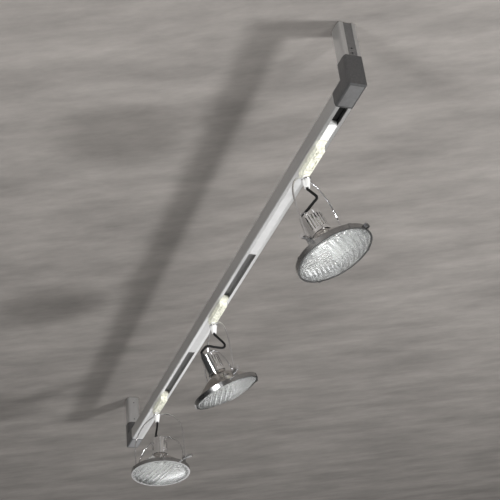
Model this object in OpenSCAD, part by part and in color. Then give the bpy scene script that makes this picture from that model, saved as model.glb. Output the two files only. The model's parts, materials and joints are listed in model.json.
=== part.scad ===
// Ceiling bridge track with three wire-yoke spotlights.
// X runs along the beam, +X to the near leg. Y is across it. Z is up and the ceiling is z = 0.

/* [Bridge] */
// Length over the outer faces of the two elbows
span = 1974; // [1900:10:2200]
// Height from the ceiling to the underside of the elbows
drop = 172; // [160:1:300]
// Length of each elbow arm from the outer corner
elbow_arm = 78; // [70:1:90]
// How far the elbow stands out from the extrusion all round
elbow_proud = 1; // [0.5:0.1:2]

/* [Extrusion] */
// Width of the extrusion across its sides
profile_w = 42; // [40:1:46]
// Depth of the extrusion from the slotted face to the back
profile_d = 44; // [42:1:50]
// Width of the flat slotted face
face_w = 34; // [32:1:36]
// Width of the track slot
slot_w = 20; // [18:0.5:21]
// Wall thickness of the extrusion
wall = 2; // [1.6:0.1:2.2]

/* [Spotlights] */
// Place of the near spotlight along the beam
near_lamp_x = 680; // [600:1:700]
// Place of the middle spotlight along the beam
middle_lamp_x = -28; // [-100:1:100]
// Place of the far spotlight along the beam
far_lamp_x = -651; // [-700:1:-640]
// Distance from the yoke's neck to the tilt axis
yoke_h = 178; // [165:1:185]
// Half the distance between the two yoke legs
yoke_half_w = 94.7; // [94.7:0.1:96]
// Thickness of the yoke wire
yoke_wire = 4; // [3:0.5:4]
// Thickness of the bail wire over the rear can
bail_wire = 3.5; // [3:0.5:4]
// Height of the tilt axis behind the rim of the lamp
pivot_back = 22; // [21:1:24]
// Radius of the lamp glass at its rim
glass_r = 88.5; // [88:0.5:89]
// How far the lens bulges in front of the rim
lens_sag = 20; // [12:1:22]
// Outer radius of the rear can
can_r = 24.5; // [24:0.5:26]
// Length of the rear can
can_len = 54; // [50:1:56]
// Height of the can's top behind the rim
can_top = 115; // [112:1:118]
// Thickness of the black lead
lead_d = 6.5; // [5:0.5:6.5]

/* [Hidden] */
$fn = 64;
eps = 0.01;
half_span = span / 2;
corner_rise = 12;              // height of the rounded corner beside the slotted face
back_r = 12;                   // radius of the two back corners
lip_t = 2;                     // thickness of the lips beside the slot
channel_half = 16;             // half width of the track channel behind the lips
channel_back = 20;             // depth at which the track channel ends
duct_front = 22;               // depth at which the wiring duct starts
end_x = half_span - elbow_arm; // where the beam meets an elbow
leg_len = drop - elbow_arm;    // length of a leg
face_z = -drop + elbow_proud;  // the beam's slotted face
leg_face_x = half_span - elbow_proud;
spigot_len = 24;
grub_r = 2;
bracket_hole_r = 2.6;
bracket_hole_y = 11;
cable_hole_r = 5;
duct_mid = 32;                 // depth of the middle of the wiring duct

lamp_x = [near_lamp_x, middle_lamp_x, far_lamp_x];
lean_side = [12, 5, 0];        // lean of each yoke towards +Y
lean_along = [-2, -2, 3];         // lean of each yoke towards +X
yoke_pan = [-56, 0, 39];       // pan of each yoke about its stem
lamp_tilt = [12, 18, -2];        // tilt of each lamp in its yoke
neck_drop = 24;                // depth of the yoke's neck below the beam's face
adaptor_drop = 14;             // how far the adaptor stands below the face
adaptor_len = 95;              // from the stem to the adaptor's end
lever_x = 70;
spigot_r = 5;
cone_top = -28.5;
cone_bottom = -47;
can_base = can_top - can_len;
pin_r = 2.95;
run_gap = 0.05;                // running clearance on a radius
gland_y = -16;
gland_h = 10;
feed_x0 = 795;                 // feed connector, from and to
feed_x1 = 848;
contact_depths = [8, 13];      // depths of the live and neutral conductors

// ---------- the extrusion's outline ----------
// Points are [across, depth], with depth 0 at the slotted face. grow moves the whole outline out.

function arc(centre, radii, from, to, steps) =
    [for (i = [0:steps]) let (a = from + (to - from) * i / steps)
        [centre[0] + radii[0] * cos(a), centre[1] + radii[1] * sin(a)]];

function outline_half(grow) = concat(
    arc([face_w / 2, corner_rise], [(profile_w - face_w) / 2 + grow, corner_rise + grow], -90, 0, 8),
    arc([profile_w / 2 - back_r, profile_d - back_r], [back_r + grow, back_r + grow], 0, 90, 8));

function outline(grow) =
    let (right = outline_half(grow))
    concat(right, [for (i = [len(right) - 1:-1:0]) [-right[i][0], right[i][1]]]);

module block2d(half, from, to) translate([-half, from]) square([2 * half, to - from]);

module duct2d(grow, from) intersection() {
    polygon(outline(grow));
    block2d(profile_w, from, profile_d + 10);
}

module profile2d() difference() {
    polygon(outline(0));
    block2d(slot_w / 2, -1, lip_t + eps);
    block2d(channel_half, lip_t, channel_back);
    duct2d(-wall, duct_front);
}

// Extrudes a section along the beam, between two places, with its face on the beam's face
module along_beam(from, to)
    translate([from, 0, face_z]) rotate([90, 0, 90]) linear_extrude(to - from) children();

// Extrudes a section up the near leg, with its face on the leg's outer face
module along_leg(from, to)
    translate([leg_face_x, 0, from]) rotate([0, 0, 90]) linear_extrude(to - from) children();

// Keeps children as they are for the near side (1) and mirrors them for the far side (-1)
module on_side(side) {
    if (side > 0) children();
    else mirror([1, 0, 0]) children();
}

// ---------- structure ----------

module grub_hole_on_beam(radius)
    translate([end_x - spigot_len / 2, 0, face_z + profile_d - 6]) cylinder(r = radius, h = 8);

module grub_hole_on_leg(radius, z)
    translate([leg_face_x - profile_d - 2, 0, z]) rotate([0, 90, 0]) cylinder(r = radius, h = 8);

module beam_profile() color("gainsboro") difference() {
    along_beam(-end_x, end_x) profile2d();
    for (side = [1, -1]) on_side(side) grub_hole_on_beam(grub_r + 0.05);
}

module leg_profile(side) color("silver") on_side(side) difference() {
    along_leg(-leg_len, 0) profile2d();
    grub_hole_on_leg(grub_r + 0.05, -leg_len + spigot_len / 2);
    grub_hole_on_leg(grub_r + 0.05, -20);
}

module near_leg_profile() leg_profile(1);
module far_leg_profile() leg_profile(-1);

// A prism of an outline in the XZ plane, right across the bridge
module xz_prism(points) rotate([90, 0, 0]) linear_extrude(80, center = true) polygon(points);

// The mitred corner made of a beam arm and a leg arm of one section
module mitre(reach) {
    far_corner = [half_span - 120, -drop + 120];
    intersection() {
        along_beam(end_x - reach, half_span + 1) children();
        xz_prism([[half_span + 5, -drop - 5], far_corner, [half_span - 120, -drop - 5]]);
    }
    intersection() {
        along_leg(-drop - 1, -leg_len + reach) children();
        xz_prism([[half_span + 5, -drop - 5], [half_span + 5, -drop + 120], far_corner]);
    }
}

module spigot2d() difference() {
    duct2d(-wall - 0.15, duct_front + 0.2);
    duct2d(-wall - 2.4, duct_front + 2.4);
}

module elbow(side) color("dimgray") on_side(side) difference() {
    union() {
        difference() {
            mitre(0) polygon(outline(elbow_proud));
            mitre(1) polygon(outline(-3));
        }
        along_beam(end_x - spigot_len, end_x + 6) spigot2d();
        along_leg(-leg_len - 6, -leg_len + spigot_len) spigot2d();
    }
    grub_hole_on_beam(grub_r + 0.05);
    grub_hole_on_leg(grub_r + 0.05, -leg_len + spigot_len / 2);
    translate([end_x + 4, -16, -drop - 1]) cube([elbow_arm - 12, 32, 2.5]);
}

module near_elbow() elbow(1);
module far_elbow() elbow(-1);

module elbow_covers() color("darkgray") for (side = [1, -1]) on_side(side)
    translate([end_x + 4.2, -15.8, -drop + 0.1]) cube([elbow_arm - 12.4, 31.6, 1.4]);

module leg_inserts() color("dimgray") for (side = [1, -1]) on_side(side) difference() {
    along_leg(-leg_len + 0.2, -0.5) block2d(channel_half - 0.3, lip_t + 0.1, lip_t + 1.9);
    for (z = [-leg_len + 9, -leg_len + 22])
        translate([leg_face_x - 8, 0, z]) rotate([0, 90, 0]) cylinder(r = 2.2, h = 10);
}

module ceiling_bracket(side, cable_hole) color("lightgray") on_side(side) difference() {
    union() {
        along_leg(-4, 0) duct2d(-wall - 0.3, duct_front + 0.3);
        translate([leg_face_x - profile_d + wall + 0.3, -10, -32]) cube([3, 20, 30]);
    }
    for (y = [-bracket_hole_y, bracket_hole_y])
        translate([leg_face_x - duct_mid, y, -5]) cylinder(r = bracket_hole_r, h = 6);
    if (cable_hole) translate([leg_face_x - duct_mid, 0, -5]) cylinder(r = cable_hole_r, h = 6);
    grub_hole_on_leg(grub_r + 0.05, -20);
}

module near_ceiling_bracket() ceiling_bracket(1, true);
module far_ceiling_bracket() ceiling_bracket(-1, false);

module grub_screw(length) difference() {
    cylinder(r = grub_r, h = length);
    translate([0, 0, length - 1.8]) cylinder(r = 1.15, h = 2, $fn = 6);
}

module grub_screws() color("dimgray") for (side = [1, -1]) on_side(side) {
    translate([end_x - spigot_len / 2, 0, face_z + profile_d - 4.3]) grub_screw(4.2);
    for (z = [-leg_len + spigot_len / 2, -20])
        translate([leg_face_x - profile_d + 4.3, 0, z]) rotate([0, -90, 0]) grub_screw(4.2);
}

module track_insulator() color("dimgray") difference() {
    along_beam(-end_x + 0.5, end_x - 0.5) difference() {
        block2d(channel_half - 0.1, lip_t + 0.1, channel_back - 0.1);
        block2d(channel_half - 3.4, lip_t, channel_back - 2.7);
        for (s = [-1, 1], d = contact_depths)
            translate([s * 13.5, d]) square([2.2, 3], center = true);
    }
}

module conductor_rails() color("peru") for (s = [-1, 1], d = contact_depths)
    along_beam(-end_x + 1, end_x - 1) translate([s * 13.5, d]) square([1.9, 2.8], center = true);

module feed_connector() color("white") difference() {
    union() {
        along_beam(feed_x0, feed_x1) block2d(9.8, 0, 14);
        along_beam(feed_x0 + 6, feed_x1 - 6) block2d(12, lip_t + 0.3, lip_t + 2.5);
    }
    for (x = [feed_x0 + 5, feed_x1 - 5]) translate([x, 0, face_z - 2]) cylinder(r = 1.7, h = 2.5);
}

// One spring blade on each side at both conductor depths
module blades_at(x) for (s = [-1, 1], d = contact_depths)
    translate([x, s * 11.15, face_z + d]) cube([10, 2.7, 1.6], center = true);

module contact_blades() color("peru") {
    blades_at((feed_x0 + feed_x1) / 2);
    for (i = [0:2]) blades_at(lamp_x[i] + 78);
}

module strip2d() {
    block2d(9.8, 0, 1.5);
    for (s = [-1, 1]) {
        translate([s * 8.1, 3.2]) square([1.2, 3.6], center = true);
        translate([s * 9.8, 3]) square([3.4, 1.2], center = true);
    }
}

module slot_cover_strips() color("whitesmoke") {
    along_beam(316, near_lamp_x - 14) strip2d();
    along_beam(-240, middle_lamp_x - 14) strip2d();
    along_beam(-end_x + 1, far_lamp_x - 14) strip2d();
}

// ---------- cords ----------

function unit(v) = v / norm(v);

// Direction of the route at point i, halfway between the stretches that meet there
function heading(pts, i) = unit(
    (i == 0 ? pts[1] - pts[0] : unit(pts[i] - pts[i - 1])) +
    (i == len(pts) - 1 ? pts[i] - pts[i - 1] : unit(pts[min(i + 1, len(pts) - 1)] - pts[i])));

// A side direction carried along the route without twisting
function side_dirs(pts, i = 0, last = [0, 1, 0]) =
    i == len(pts) ? [] :
    let (t = heading(pts, i), flat = last - (last * t) * t, s = unit(flat))
    concat([s], side_dirs(pts, i + 1, s));

module cord(pts, radius, sides) {
    dirs = side_dirs(pts);
    rings = len(pts);
    points = [for (i = [0:rings - 1], k = [0:sides - 1])
        let (a = 360 * k / sides, t = heading(pts, i), u = dirs[i], v = cross(t, u))
        pts[i] + radius * (cos(a) * u + sin(a) * v)];
    walls = [for (i = [0:rings - 2], k = [0:sides - 1]) let (n = (k + 1) % sides)
        [i * sides + k, (i + 1) * sides + k, (i + 1) * sides + n, i * sides + n]];
    start_cap = [for (k = [0:sides - 1]) k];
    end_cap = [for (k = [sides - 1:-1:0]) (rings - 1) * sides + k];
    polyhedron(points, concat([start_cap], walls, [end_cap]), convexity = 6);
}

// Points of a smooth curve through the route's own points
function spline_point(p, i, t) =
    let (a = p[max(i - 1, 0)], b = p[i], c = p[i + 1], d = p[min(i + 2, len(p) - 1)])
    0.5 * ((2 * b) + (c - a) * t + (2 * a - 5 * b + 4 * c - d) * t * t
        + (3 * b - a - 3 * c + d) * t * t * t);

function smooth(p, steps) = concat(
    [for (i = [0:len(p) - 2], k = [0:steps - 1]) spline_point(p, i, k / steps)], [p[len(p) - 1]]);

// ---------- a spotlight's frames ----------

module at_stem(i) translate([lamp_x[i], 0, face_z]) children();

module at_yoke(i) at_stem(i) translate([0, 0, -neck_drop])
    rotate([lean_side[i], -lean_along[i], 0]) rotate([0, 0, yoke_pan[i]]) children();

module at_lamp(i) at_yoke(i) translate([0, 0, -yoke_h]) rotate([lamp_tilt[i], 0, 0]) children();

function turn_x(v, a) = [v[0], v[1] * cos(a) - v[2] * sin(a), v[1] * sin(a) + v[2] * cos(a)];
function turn_z(v, a) = [v[0] * cos(a) - v[1] * sin(a), v[0] * sin(a) + v[1] * cos(a), v[2]];

function turn_y(v, a) = [v[0] * cos(a) + v[2] * sin(a), v[1], -v[0] * sin(a) + v[2] * cos(a)];
function lean(i, v) = turn_y(turn_x(v, lean_side[i]), -lean_along[i]);

// A direction and a point given in lamp i's own frame, in the frame of its stem
function lamp_dir(i, v) = lean(i, turn_z(turn_x(v, lamp_tilt[i]), yoke_pan[i]));
function lamp_point(i, v) = lamp_dir(i, v) + lean(i, [0, 0, -yoke_h]) - [0, 0, neck_drop];

// ---------- parts of a spotlight ----------

module adaptor(i) color("ivory") at_stem(i) difference() {
    union() {
        translate([-12, -10, -adaptor_drop]) cube([adaptor_len + 12, 20, adaptor_drop - 0.1]);
        translate([-12, -9.8, -0.2]) cube([adaptor_len + 12, 19.6, 14.2]);
        translate([adaptor_len - 1, -9.8, 0]) cube([19, 19.6, 12]);
        translate([20, -12, lip_t + 0.3]) cube([66, 24, 2.5]);
    }
    translate([0, 0, -adaptor_drop - 1]) cylinder(r = spigot_r + run_gap, h = adaptor_drop + 12);
    translate([0, 0, 8.6]) cylinder(r = 8, h = 10);
    for (x = [28, 45]) translate([x, 4, -adaptor_drop - 1]) cube([13, 2.6, 3.5]);
    for (x = [20, 84]) translate([x, -6, -adaptor_drop - 1]) cylinder(r = 2.2, h = 3.5);
    for (x = [22:6:58], s = [-1, 1])
        translate([x, s * 10, -adaptor_drop / 2]) cube([2, 1.4, 8], center = true);
    translate([lever_x, 0, -adaptor_drop - 1]) cylinder(r = 2.05, h = 10);
}

module lock_lever(i) color("ivory") at_stem(i) translate([lever_x, 0, -adaptor_drop - 2.8]) {
    cylinder(r = 6, h = 2.5);
    translate([0, -3, 0]) cube([22, 6, 2.5]);
    cylinder(r = 2, h = 9);
}

module stem(i) color("white") at_stem(i) {
    translate([0, 0, cone_bottom]) cylinder(r1 = 6.5, r2 = 9, h = cone_top - cone_bottom);
    translate([0, 0, cone_top - eps]) cylinder(r = 8.3, h = 9.5);
    translate([0, 0, -19.1]) cylinder(r = 6, h = 19.1 - adaptor_drop - 0.3);
    translate([0, 0, -adaptor_drop - 1]) cylinder(r = spigot_r, h = adaptor_drop + 10.5);
    translate([0, 0, 9]) cylinder(r = 7, h = 1.5);
}

// Part of a ring of wire in the XZ plane, from angle a0 over a sweep
module wire_arc(radius, wire, a0, sweep)
    rotate([90, 0, 0]) rotate([0, 0, a0]) rotate_extrude(angle = sweep)
        translate([radius, 0]) circle(d = wire, $fn = 24);

module yoke(i) color("lightgray") at_yoke(i) difference() {
    union() {
        rotate_extrude() translate([10, 0]) circle(d = yoke_wire, $fn = 24);
        for (a = [0, 96]) translate([0, 0, -yoke_half_w])
            wire_arc(yoke_half_w, yoke_wire, a, 84);
        for (s = [1, -1]) translate([s * yoke_half_w, 0, -yoke_h]) {
            cylinder(d = yoke_wire, h = yoke_h - yoke_half_w + eps);
            rotate([0, 90, 0]) cylinder(r = 6.5, h = yoke_wire, center = true);
        }
    }
    translate([0, 0, -yoke_h]) rotate([0, 90, 0])
        cylinder(r = pin_r + run_gap, h = 4 * yoke_half_w, center = true);
}

plate_x = yoke_half_w - 4.7;   // inner face of the ring's bracket plate
ring_r = 91.9;
clamp_angle = 90;
function rim(h) = h - pivot_back;

module rim_ring(i) color("silver") at_lamp(i) difference() {
    union() {
        rotate_extrude($fn = 96) polygon([
            [87.4, rim(-2)], [ring_r, rim(-2)], [ring_r, rim(10)], [88.6, rim(10)],
            [88.6, rim(8.8)], [89.4, rim(8.8)], [89.4, rim(-0.6)], [87.4, rim(-0.6)]]);
        for (s = [0, 180]) rotate([0, 0, s]) translate([plate_x, 0, 0]) {
            translate([0, -7, rim(8)]) cube([2.4, 14, pivot_back - 8]);
            rotate([0, 90, 0]) cylinder(r = 7, h = 2.4);
        }
        for (a = [60, 150, 240, 330]) rotate([0, 0, a])
            translate([ring_r - 0.6, -4, rim(-2.6)]) cube([1.7, 8, 13.2]);
        rotate([0, 0, clamp_angle]) for (s = [1, -1])
            translate([90.5, s * 3.2 - 1, rim(-1)]) cube([9.5, 2, 10]);
    }
    rotate([0, 0, clamp_angle]) translate([80, -2, rim(-3)]) cube([25, 4, 14]);
    rotate([0, 0, clamp_angle]) translate([96, 0, rim(4)]) rotate([90, 0, 0])
        cylinder(r = 2.05, h = 12, center = true);
    rotate([0, 90, 0]) cylinder(r = pin_r + run_gap, h = 200, center = true);
}

module hex_head(size, thick) cylinder(d = size, h = thick, $fn = 6);

module fasteners(i) color("gray") at_lamp(i) {
    rotate([0, -90, 0]) {
        translate([0, 0, plate_x - 6.8]) cylinder(r = pin_r, h = 14);
        translate([0, 0, plate_x - 6.8]) hex_head(10, 3.2);
        translate([0, 0, plate_x + 7]) hex_head(12, 4.5);
    }
    rotate([0, 0, clamp_angle]) translate([96, 0, rim(4)]) rotate([90, 0, 0]) {
        cylinder(r = 2, h = 14, center = true);
        translate([0, 0, 4.2]) hex_head(8, 3.4);
        translate([0, 0, -7.4]) hex_head(8, 3.2);
    }
}

module tilt_knob(i) color("white") at_lamp(i) rotate([0, 90, 0]) difference() {
    union() {
        translate([0, 0, plate_x - 3.5]) cylinder(r = pin_r, h = 11);
        translate([0, 0, plate_x + 7.2]) cylinder(r = 5.5, h = 24);
    }
    for (a = [0:30:330]) rotate([0, 0, a])
        translate([5.9, 0, plate_x + 14]) cylinder(r = 0.8, h = 12, $fn = 16);
}

// Height of the reflector's outside at a radius, behind the rim
bowl_r = 87;
function bowl_h(r) = 8 + 54 * (1 - pow(r / bowl_r, 1.5));

module reflector(i) color("lightgray") at_lamp(i) {
    rotate_extrude($fn = 96) polygon(concat(
        [[glass_r, rim(3.4)], [glass_r, rim(8)]],
        [for (r = [bowl_r:-5:22]) [r, rim(bowl_h(r))]],
        [[22, rim(70)], [0, rim(70)], [0, rim(67)], [19, rim(67)], [19, rim(51)]],
        [for (r = [27:5:bowl_r]) [r - 3, rim(bowl_h(r) - 3)]],
        [[bowl_r - 3, rim(3.4)]]));
    for (s = [1, -1]) translate([s * 8, 0, rim(70) - eps]) cylinder(r = 2, h = 9);
}

// Depth of the lens's dome at a radius
function dome(r) = let (ball = (glass_r * glass_r + lens_sag * lens_sag) / (2 * lens_sag))
    sqrt(ball * ball - r * r) - (ball - lens_sag);

module lens(i) color("aliceblue", 0.7) at_lamp(i) rotate_extrude($fn = 96) polygon(concat(
    [for (r = [0:8.7:87]) [r, rim(-dome(r) - 1)]],
    [[87.2, rim(-0.5)], [glass_r, rim(-0.5)], [glass_r, rim(3.3)], [82, rim(3.3)]],
    [for (r = [80:-8:0]) [r, rim(2.6 - dome(r))]]));

module lampholder(i) color("wheat") at_lamp(i) translate([0, 0, rim(70)]) difference() {
    union() {
        cylinder(r = 17, h = 28);
        cylinder(r = 6, h = can_top - 70 - 1.2);
    }
    for (s = [1, -1]) translate([s * 8, 0, -1]) cylinder(r = 2.3, h = 11);
}

module can(i) color("gainsboro") at_lamp(i) difference() {
    translate([0, 0, rim(can_base)]) cylinder(r = can_r, h = can_len);
    translate([0, 0, rim(can_base) - 1]) cylinder(r = can_r - 1.2, h = can_len - 0.2);
    for (a = [-10:17:92]) rotate([0, 0, a])
        translate([can_r - 3, -1.5, rim(can_base) + 9]) cube([6, 3, 36]);
    for (h = [74:6:98]) rotate([0, 0, -112])
        translate([can_r - 3, -6, rim(h)]) cube([6, 12, 2]);
    translate([0, gland_y, rim(can_top) - 3]) cylinder(r = 4.05, h = 5);
}

module bail(i) color("lightgray") at_lamp(i) difference() {
    x = plate_x - 1.8;
    rise = 10.5;
    union() {
        for (s = [1, -1]) translate([s * x, 0, 0]) {
            rotate([0, 90, 0]) cylinder(r = 5.5, h = 3.6, center = true);
            cylinder(d = bail_wire, h = rise + eps);
        }
        translate([0, 0, rise]) wire_arc(x, bail_wire, 0, 180);
    }
    rotate([0, 90, 0]) cylinder(r = pin_r + run_gap, h = 4 * x, center = true);
}

module gland(i) color("black") at_lamp(i) translate([0, gland_y, rim(can_top)]) {
    translate([0, 0, -3]) cylinder(r = 4, h = 3.5);
    cylinder(r1 = 5.6, r2 = 4.6, h = gland_h);
}

// Middle points of each lead's route, from the stem's axis at the beam's face
lead_middle = [
    [[4, 8, -62], [8, 16, -77], [-2, 8, -88]],
    [[4, 12, -66], [9, 24, -84], [12, 18, -97], [14, -6, -98], [16, -30, -98]],
    [[0, -1, -62], [5, -5, -78]]
];

module lead(i) color("black") at_stem(i) {
    mouth = lamp_point(i, [0, gland_y, rim(can_top) + gland_h]);
    out = lamp_dir(i, [0, 0, 1]);
    route = concat([[0, 0, cone_bottom - 4]], lead_middle[i], [mouth + 5 * out]);
    cord(concat([[0, 0, cone_bottom]], smooth(route, 3), [mouth]), lead_d / 2, 10);
}

// ---------- nodes ----------

beam_profile();
near_leg_profile();
far_leg_profile();
near_elbow();
far_elbow();
elbow_covers();
leg_inserts();
near_ceiling_bracket();
far_ceiling_bracket();
grub_screws();
track_insulator();
conductor_rails();
feed_connector();
contact_blades();
slot_cover_strips();
adaptor(0);  // near_adaptor
lock_lever(0);  // near_lock_lever
stem(0);  // near_stem
yoke(0);  // near_yoke
tilt_knob(0);  // near_tilt_knob
rim_ring(0);  // near_rim_ring
fasteners(0);  // near_fasteners
reflector(0);  // near_reflector
lens(0);  // near_lens
lampholder(0);  // near_lampholder
can(0);  // near_can
bail(0);  // near_bail
gland(0);  // near_gland
lead(0);  // near_lead
adaptor(1);  // middle_adaptor
lock_lever(1);  // middle_lock_lever
stem(1);  // middle_stem
yoke(1);  // middle_yoke
tilt_knob(1);  // middle_tilt_knob
rim_ring(1);  // middle_rim_ring
fasteners(1);  // middle_fasteners
reflector(1);  // middle_reflector
lens(1);  // middle_lens
lampholder(1);  // middle_lampholder
can(1);  // middle_can
bail(1);  // middle_bail
gland(1);  // middle_gland
lead(1);  // middle_lead
adaptor(2);  // far_adaptor
lock_lever(2);  // far_lock_lever
stem(2);  // far_stem
yoke(2);  // far_yoke
tilt_knob(2);  // far_tilt_knob
rim_ring(2);  // far_rim_ring
fasteners(2);  // far_fasteners
reflector(2);  // far_reflector
lens(2);  // far_lens
lampholder(2);  // far_lampholder
can(2);  // far_can
bail(2);  // far_bail
gland(2);  // far_gland
lead(2);  // far_lead
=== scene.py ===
import json
import math
import bpy
from mathutils import Matrix, Vector


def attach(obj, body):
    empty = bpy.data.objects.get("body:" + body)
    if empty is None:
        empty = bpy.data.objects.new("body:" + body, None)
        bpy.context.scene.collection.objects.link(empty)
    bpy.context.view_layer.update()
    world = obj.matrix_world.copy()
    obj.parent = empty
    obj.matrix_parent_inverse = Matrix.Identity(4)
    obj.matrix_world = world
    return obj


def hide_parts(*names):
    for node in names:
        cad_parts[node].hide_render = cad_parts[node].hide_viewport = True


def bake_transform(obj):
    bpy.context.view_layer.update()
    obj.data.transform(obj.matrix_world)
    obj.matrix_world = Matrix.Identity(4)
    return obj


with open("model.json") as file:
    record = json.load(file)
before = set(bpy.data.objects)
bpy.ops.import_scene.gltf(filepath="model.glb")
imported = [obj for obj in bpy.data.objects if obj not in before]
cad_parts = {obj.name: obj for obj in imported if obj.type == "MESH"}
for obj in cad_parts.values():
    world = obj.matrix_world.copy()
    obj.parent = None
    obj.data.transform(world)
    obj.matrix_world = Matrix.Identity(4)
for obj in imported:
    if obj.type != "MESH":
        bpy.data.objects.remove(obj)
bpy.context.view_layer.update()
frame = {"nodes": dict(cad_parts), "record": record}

LAMPS = ("near", "middle", "far")
MM = 0.001                      # one millimetre in metres
nodes = frame["nodes"]
joints = {j["name"]: j for j in frame["record"]["behaviour"]["joints"]}


# ---------- materials ----------

RELIEF_DEPTH = 0.001            # metres of height that the relief noise spans at full strength


def material(name, colour, metallic, rough, scale=60.0, vary=0.08, bump=0.02, stretch=(1, 1, 1), **sockets):
    """A procedural finish: noise varies the colour and roughness and makes a shallow relief."""
    m = bpy.data.materials.new(name)
    m.use_nodes = True
    t = m.node_tree
    b = t.nodes["Principled BSDF"]
    place = t.nodes.new("ShaderNodeTexCoord")
    move = t.nodes.new("ShaderNodeMapping")
    move.inputs["Scale"].default_value = stretch
    noise = t.nodes.new("ShaderNodeTexNoise")
    noise.inputs["Scale"].default_value = scale
    noise.inputs["Detail"].default_value = 6
    ramp = t.nodes.new("ShaderNodeValToRGB")
    ramp.color_ramp.elements[0].position = 0.3
    ramp.color_ramp.elements[1].position = 0.7
    ramp.color_ramp.elements[0].color = [c * (1 - vary) for c in colour] + [1]
    ramp.color_ramp.elements[1].color = [min(1, c * (1 + vary)) for c in colour] + [1]
    spread = t.nodes.new("ShaderNodeMapRange")
    spread.inputs["To Min"].default_value = rough * 0.8
    spread.inputs["To Max"].default_value = min(1, rough * 1.25)
    relief = t.nodes.new("ShaderNodeBump")
    relief.inputs["Strength"].default_value = bump
    relief.inputs["Distance"].default_value = RELIEF_DEPTH
    link = t.links.new
    link(place.outputs["Object"], move.inputs["Vector"])
    link(move.outputs["Vector"], noise.inputs["Vector"])
    link(noise.outputs["Fac"], ramp.inputs["Fac"])
    link(noise.outputs["Fac"], spread.inputs["Value"])
    link(noise.outputs["Fac"], relief.inputs["Height"])
    link(ramp.outputs["Color"], b.inputs["Base Color"])
    link(spread.outputs["Result"], b.inputs["Roughness"])
    link(relief.outputs["Normal"], b.inputs["Normal"])
    b.inputs["Metallic"].default_value = metallic
    for key, value in sockets.items():
        b.inputs[key.replace("_", " ")].default_value = value
    return m


FINISH = {
    "silver_aluminium": material("silver_aluminium", (.64, .64, .64), .9, .30, 55, .06, .02, (.05, 1, .4)),
    "dark_casting": material("dark_casting", (.13, .13, .133), .75, .34, 220, .12, .1),
    "grey_panel": material("grey_panel", (.27, .27, .275), .85, .3, 90, .08, .06),
    "zinc_steel": material("zinc_steel", (.36, .36, .36), 1, .24, 60, .06, .02),
    "dark_steel": material("dark_steel", (.12, .12, .125), 1, .35, 150, .2, .1),
    "grey_plastic": material("grey_plastic", (.035, .035, .035), 0, .6, 120, .2, .1),
    "tinned_copper": material("tinned_copper", (.42, .41, .40), 1, .35, 60, .15, .05),
    "white_plastic": material("white_plastic", (.86, .86, .85), 0, .32, 90, .03, .03),
    "white_strip": material("white_strip", (.52, .52, .52), 0, .45, 60, .04, .04),
    "cream_plastic": material("cream_plastic", (.78, .77, .66), 0, .4, 150, .30, 1.0),
    "chrome_wire": material("chrome_wire", (.70, .70, .71), 1, .14, 120, .08, .02),
    "mirrored_glass": material("mirrored_glass", (.60, .575, .55), 1, .15, 18, .05, .01),
    "ceramic": material("ceramic", (.80, .78, .72), 0, .6, 90, .05, .08),
    "chrome_can": material("chrome_can", (.96, .96, .97), 1, .13, 60, .06, .02),
    "black_plastic": material("black_plastic", (.014, .014, .014), 0, .5, 150, .2, .15),
    "black_rubber": material("black_rubber", (.006, .006, .006), 0, .62, 200, .25, .2,
                             Specular_IOR_Level=.25),
    "clear_glass": material("clear_glass", (.95, .965, .96), 0, .03, 70, .02, .02,
                            Transmission_Weight=0.90, IOR=1.5),
}


LINER_SHADE_FADE = (0.55, 0.75)       # stretch of the beam over which the track liner turns from painted lit grey to black painted shade, m


def painted_liner_shade_towards_near_end(mat):
    """Painted light and shade: the liner is painted lit grey along the beam and painted black shade in the
    short open stretch of slot by the near elbow.
    """
    t = mat.node_tree
    place = t.nodes.new("ShaderNodeTexCoord")
    split = t.nodes.new("ShaderNodeSeparateXYZ")
    step = t.nodes.new("ShaderNodeMapRange")
    step.inputs["From Min"].default_value = LINER_SHADE_FADE[0]
    step.inputs["From Max"].default_value = LINER_SHADE_FADE[1]
    blend = t.nodes.new("ShaderNodeMixRGB")
    # painted lit grey along the beam, and black painted shade in the open slot by the near elbow
    blend.inputs["Color1"].default_value = (.34, .34, .34, 1)
    blend.inputs["Color2"].default_value = (.02, .02, .02, 1)
    t.links.new(place.outputs["Object"], split.inputs[0])
    t.links.new(split.outputs["X"], step.inputs["Value"])
    t.links.new(step.outputs["Result"], blend.inputs["Fac"])
    t.links.new(blend.outputs["Color"], t.nodes["Principled BSDF"].inputs["Base Color"])


# the liner gets painted light along the beam and painted black shade by the near elbow
painted_liner_shade_towards_near_end(FINISH["grey_plastic"])
for part in frame["record"]["subparts"]:
    obj = nodes[part["node"]]
    obj.data.materials.clear()
    obj.data.materials.append(FINISH[part["material_slot"]])


# ---------- meshes ----------

def make(name, verts, faces, slot, place=None):
    """A smooth-shaded mesh object, moved to a place if one is given, with its slot's finish."""
    mesh = bpy.data.meshes.new(name)
    mesh.from_pydata([tuple(place @ Vector(v)) if place else tuple(v) for v in verts], [], faces)
    mesh.validate()
    for p in mesh.polygons:
        p.use_smooth = True
    mesh.materials.append(FINISH[slot])
    obj = bpy.data.objects.new(name, mesh)
    bpy.context.scene.collection.objects.link(obj)
    return obj


def lathe(name, profile, slot, place, sides=192, shape=None):
    """A profile of (radius, height) in mm turned about the lamp's axis; shape(x, y, r, z) adds height."""
    verts, faces, rows = [], [], len(profile)
    for r, z in profile:
        for k in range(sides):
            a = math.tau * k / sides
            x, y = r * math.cos(a), r * math.sin(a)
            verts.append((x * MM, y * MM, (z + (shape(x, y, r, z) if shape else 0)) * MM))
    for i in range(rows - 1):
        for k in range(sides):
            n = (k + 1) % sides
            faces.append((i * sides + k, i * sides + n, (i + 1) * sides + n, (i + 1) * sides + k))
    return make(name, verts, faces, slot, place)


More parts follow.
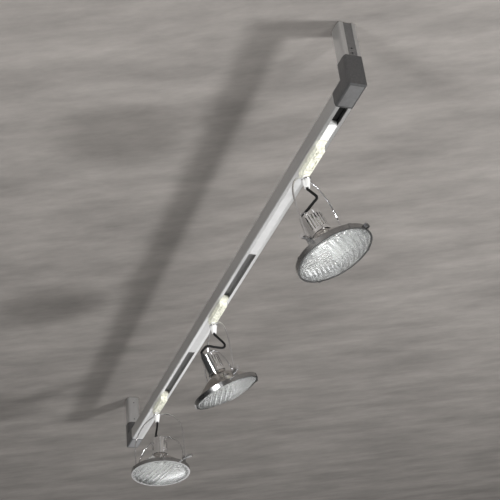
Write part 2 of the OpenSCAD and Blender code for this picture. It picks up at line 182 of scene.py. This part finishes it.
def tube(name, path, radius, slot, sides=16):
    """A round solid cord along a path, with closed ends."""
    verts, faces, side = [], [], Vector((0, 1, 0))
    for i, p in enumerate(path):
        along = (path[min(i + 1, len(path) - 1)] - path[max(i - 1, 0)]).normalized()
        side = (side - along * side.dot(along)).normalized()
        other = along.cross(side)
        for k in range(sides):
            a = math.tau * k / sides
            verts.append(p + radius * (math.cos(a) * side + math.sin(a) * other))
    for i in range(len(path) - 1):
        for k in range(sides):
            n = (k + 1) % sides
            faces.append((i * sides + k, i * sides + n, (i + 1) * sides + n, (i + 1) * sides + k))
    faces.append(tuple(range(sides))[::-1])
    faces.append(tuple((len(path) - 1) * sides + k for k in range(sides)))
    return make(name, verts, faces, slot)


def smooth(points, steps):
    """Points of a rounded curve that passes through every given point."""
    out = []
    for i in range(len(points) - 1):
        a, b = points[max(i - 1, 0)], points[i]
        c, d = points[i + 1], points[min(i + 2, len(points) - 1)]
        for k in range(steps):
            t = k / steps
            out.append(.5 * (2 * b + (c - a) * t + (2 * a - 5 * b + 4 * c - d) * t * t
                             + (3 * b - a - 3 * c + d) * t ** 3))
    return out + [points[-1]]


# lamp dimensions in mm, which follow the CAD's lamp
PIVOT_BACK = 22.0               # tilt axis behind the rim plane
GLASS_R = 88.5                  # lamp glass at its rim
LENS_SAG = 20.0                 # how far the lens bulges in front of the rim
BALL = (GLASS_R ** 2 + LENS_SAG ** 2) / (2 * LENS_SAG)      # radius of the lens's sphere
LENS_R = 87                     # edge of the domed part of the lens
LENS_SEAT_R = 88.4              # edge of the lens where it sits in the ring
LENS_BACK_R = 80                # edge of the lens's smooth inner dome
LENS_THICK = 3.6
LENS_PROUD = 1                  # the outer dome stands this far in front of the sphere
EDGE_FRONT, EDGE_BACK = -.5, 3.2        # the lens's edge lies between these heights behind the rim
EDGE_OUT_R, EDGE_IN_R = 87.2, 82        # where the edge begins outside, and ends inside
BOWL_R = 87
BOWL_TOP, BOWL_RISE = 8, 54     # the reflector's height at its rim, and how much deeper its neck is
NECK_R = 24
CAN_TOP = 115
GLAND_Y, GLAND_H = -16, 10      # the gland's place across the can, and its height above the can

# dimensions in mm of what only this script makes
MIRROR_IN, MIRROR_DOWN = 3.4, 3.6       # the mirror lies this far inside and below the reflector
RIB_EDGE, RIB_FADE = 86, 3              # the ribs end at this radius, and fade in over this width
HALF_EDGE, HALF_FADE = -10, 5           # where the fine half gives way to the broad one
BROAD_DEPTH, BROAD_PITCH, BROAD_BEND = 2.7, 14, .002
RIPPLE_DEPTH, RIPPLE_PITCH = .5, 11     # across the broad flutes
FINE_DEPTH, FINE_PITCH, FINE_BEND = 2.3, 8.5, .0016
CROSS_DEPTH, CROSS_PITCH = .9, 10       # across the fine ribs


def rim(h):
    """Height in the lamp's frame of a point that is h behind the rim plane."""
    return h - PIVOT_BACK


def dome(r):
    """How far the lens's sphere stands in front of the rim plane at radius r."""
    return math.sqrt(BALL ** 2 - r * r) - (BALL - LENS_SAG)


def bowl(r):
    """Height of the reflector behind the rim plane at radius r."""
    return BOWL_TOP + BOWL_RISE * (1 - (r / BOWL_R) ** 1.5)


def lamp_place(name):
    """The lamp's own frame: X along the tilt axis, Z towards the can, origin on the tilt axis."""
    j = joints[name + "_tilt"]
    pivot, x = Vector(j["pos_m"]), Vector(j["axis"]).normalized()
    spots = {tuple(round(c, 5) for c in v.co) for v in nodes[name + "_reflector"].data.vertices}
    centre = sum((Vector(s) for s in spots), Vector()) / len(spots)
    z = centre - pivot
    z = (z - x * z.dot(x)).normalized()
    y = z.cross(x)
    return Matrix.Translation(pivot) @ Matrix((x, y, z)).transposed().to_4x4()


def wave(value, pitch):
    """Smooth ridges of a given pitch, from 0 to 1."""
    return 0.5 - 0.5 * math.cos(math.tau * value / pitch)


def ribs(x, y, r, turn):
    """Broad flutes over one half of the lens and a fine prism grid over the other, sunk into the glass."""
    along = x * math.cos(turn) + y * math.sin(turn)
    across = y * math.cos(turn) - x * math.sin(turn)
    fade = max(0.0, min(1.0, (RIB_EDGE - r) / RIB_FADE))
    half = max(0.0, min(1.0, (across - HALF_EDGE) / HALF_FADE))
    broad = BROAD_DEPTH * wave(across + BROAD_BEND * along * along, BROAD_PITCH)
    broad += RIPPLE_DEPTH * wave(along, RIPPLE_PITCH)
    fine = FINE_DEPTH * wave(along + FINE_BEND * across * across, FINE_PITCH)
    fine += CROSS_DEPTH * wave(across, CROSS_PITCH)
    return fade * (half * broad + (1 - half) * fine)


# the lead's route between the cone and the gland, in mm from the stem's root on the beam
LEAD_MIDDLE = {
    "near": [(4, 8, -62), (8, 16, -77), (-2, 8, -88)],
    "middle": [(4, 12, -66), (9, 24, -84), (12, 18, -97), (14, -6, -98), (16, -30, -98)],
    "far": [(0, -1, -62), (5, -5, -78)],
}
LEAD_D = 6.5
CONE_BOTTOM = -47
STRAIGHT_OUT, STRAIGHT_IN = 4, 5        # straight stretch at the cone, and at the gland, mm
STEPS_PER_POINT = 10
GLAND = (0, GLAND_Y, rim(CAN_TOP) + GLAND_H)
LENS_TURN = {"near": 20, "middle": 163, "far": 155}     # how far each glass is turned in its ring, degrees


def add_lens(name, place, head):
    """A ribbed dome in front, an edge that sits in the ring, and a smooth dome behind."""
    turn = math.radians(LENS_TURN[name])
    front_steps, back_steps, sides, hub = 130, 20, 520, .05
    inner = LENS_THICK - LENS_PROUD
    halfway = .7                # between the sphere and the outer dome, which tells the front from the back
    front_r = [LENS_R * i / front_steps for i in range(1, front_steps + 1)]
    back_r = [LENS_BACK_R * (1 - i / back_steps) for i in range(back_steps)]
    outline = [(hub, rim(-dome(0) - LENS_PROUD))]
    outline += [(r, rim(-dome(r) - LENS_PROUD)) for r in front_r]
    outline += [(EDGE_OUT_R, rim(EDGE_FRONT)), (LENS_SEAT_R, rim(EDGE_FRONT))]
    outline += [(LENS_SEAT_R, rim(EDGE_BACK)), (EDGE_IN_R, rim(EDGE_BACK))]
    outline += [(r, rim(inner - dome(r))) for r in back_r]
    outline += [(hub, rim(inner - dome(0)))]

    def relief(x, y, r, z):
        is_front = z < rim(-halfway) - dome(r)
        return ribs(x, y, r, turn) if is_front else 0

    lens = lathe(name + "_ribbed_lens", outline, "clear_glass", place, sides, relief)
    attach(lens, head)
    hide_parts(name + "_lens")


def add_mirror(name, place, head):
    """The bright silvered inside of the reflector."""
    outline = [(r - MIRROR_IN, rim(bowl(r) - MIRROR_DOWN)) for r in range(NECK_R, BOWL_R)]
    mirror = lathe(name + "_inner_mirror", outline, "chrome_can", place)
    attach(mirror, head)


def add_lead(name, place):
    """The black lead, straight out of the cone and straight into the gland."""
    root = Vector(joints[name + "_pan_turn"]["pos_m"])
    mouth = place @ (Vector(GLAND) * MM)
    out = (place.to_3x3() @ Vector((0, 0, 1))).normalized()
    leave = root + Vector((0, 0, CONE_BOTTOM * MM))
    inside = [root + Vector((0, 0, (CONE_BOTTOM - STRAIGHT_OUT) * MM))]
    inside += [root + Vector(p) * MM for p in LEAD_MIDDLE[name]]
    inside += [mouth + out * STRAIGHT_IN * MM]
    path = [leave] + smooth(inside, STEPS_PER_POINT) + [mouth]
    lead = tube(name + "_flexible_lead", path, LEAD_D / 2 * MM, "black_rubber")
    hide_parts(name + "_lead")
    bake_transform(lead)


for name in LAMPS:
    place = lamp_place(name)
    add_lens(name, place, name + "_head")
    add_mirror(name, place, name + "_head")
    add_lead(name, place)


# ---------- surroundings ----------

def plane(name, z, size, mat, down):
    """A square stage plane at height z that faces down or up."""
    s = size / 2
    order = (0, 3, 2, 1) if down else (0, 1, 2, 3)
    mesh = bpy.data.meshes.new(name)
    mesh.from_pydata([(-s, -s, z), (s, -s, z), (s, s, z), (-s, s, z)], [], [order])
    mesh.materials.append(mat)
    obj = bpy.data.objects.new(name, mesh)
    bpy.context.scene.collection.objects.link(obj)
    return obj


STREAK_ANGLE, STREAK_STRETCH = math.radians(67.7), 3.5
CEILING_GAP = 0.0012            # the ceiling plane lies just above the brackets
FLOOR_Z = -2.6
CEILING_SIZE, FLOOR_SIZE = 14, 9


def clear_from_behind(mat):
    """Makes a stage plane clear when it is seen from its back, so that it never hides the fixture."""
    tree = mat.node_tree
    side = tree.nodes.new("ShaderNodeNewGeometry")
    clear = tree.nodes.new("ShaderNodeBsdfTransparent")
    mix = tree.nodes.new("ShaderNodeMixShader")
    tree.links.new(side.outputs["Backfacing"], mix.inputs[0])
    tree.links.new(tree.nodes["Principled BSDF"].outputs[0], mix.inputs[1])
    tree.links.new(clear.outputs[0], mix.inputs[2])
    tree.links.new(mix.outputs[0], tree.nodes["Material Output"].inputs["Surface"])
    return mat


def ceiling_material():
    """Streaky bare plaster."""
    mat = material("ceiling", (.200, .186, .174), 0, .9, 9, .30, .4)
    tree = mat.node_tree
    streaks = next(n for n in tree.nodes if n.type == "MAPPING")
    streaks.vector_type = "TEXTURE"
    streaks.inputs["Rotation"].default_value = (0, 0, STREAK_ANGLE)
    streaks.inputs["Scale"].default_value = (STREAK_STRETCH, 1, 1)
    grain = next(n for n in tree.nodes if n.type == "TEX_NOISE")
    grain.inputs["Detail"].default_value = 12
    grain.inputs["Roughness"].default_value = 0.68
    return mat


def floor_material():
    """Plain and pale, with a little light of its own."""
    return material("floor", (.85, .85, .84), 0, .8, 2, .03, .05,
                    Emission_Color=(1, 1, .99, 1), Emission_Strength=0.2)


plane("ceiling", CEILING_GAP, CEILING_SIZE, clear_from_behind(ceiling_material()), True)
plane("floor", FLOOR_Z, FLOOR_SIZE, clear_from_behind(floor_material()), False)


def area(name, spot, aim, size, power):
    """A square soft light of a given size in metres and power in watts."""
    data = bpy.data.lights.new(name, "AREA")
    data.size = size
    data.energy = power
    obj = bpy.data.objects.new(name, data)
    obj.location = spot
    obj.rotation_euler = (Vector(aim) - Vector(spot)).to_track_quat("-Z", "Y").to_euler()
    bpy.context.scene.collection.objects.link(obj)


area("key", (1.5, 2.2, -2.3), (0, 0, -.2), .4, 92)
area("side", (1.9, -2.3, -1.0), (0, 0, -.3), .7, 58)
area("strip", (2.9, .9, -1.2), (0, 0, -.3), .3, 22)
area("far", (-3.7, 1.5, -2.1), (0, 0, -.2), 1.7, 14)
area("far_side", (-3.6, -1.9, -1.45), (0, 0, -.2), 1.5, 11)
area("above", (.9, -1.6, 2.0), (0, 0, -.2), 1.6, 45)
bpy.context.scene.view_settings.view_transform = "Standard"

# a faint even light from all round
world = bpy.data.worlds.new("world")
bpy.context.scene.world = world
world.use_nodes = True
world.node_tree.nodes["Background"].inputs[0].default_value = (.7, .7, .7, 1)
world.node_tree.nodes["Background"].inputs[1].default_value = 0.05

# the camera looks up at the fixture from below its near end
YAW, PITCH, ROLL = (math.radians(a) for a in (157.69, 31.6, -6.46))
flat = Vector((math.cos(YAW), math.sin(YAW), 0))
ahead = math.cos(PITCH) * flat + Vector((0, 0, math.sin(PITCH)))
level = Vector((flat.y, -flat.x, 0))
above = -math.sin(PITCH) * flat + Vector((0, 0, math.cos(PITCH)))
right = math.cos(ROLL) * level + math.sin(ROLL) * above
up = -math.sin(ROLL) * level + math.cos(ROLL) * above
STANDPOINT = (2.4457, -.8800, -1.5749)
data = bpy.data.cameras.new("camera")
data.lens, data.sensor_width, data.clip_end = 76.3, 36, 50
camera = bpy.data.objects.new("camera", data)
turned = Matrix((right, up, -ahead)).transposed().to_4x4()
camera.matrix_world = Matrix.Translation(STANDPOINT) @ turned
bpy.context.scene.collection.objects.link(camera)
bpy.context.scene.camera = camera
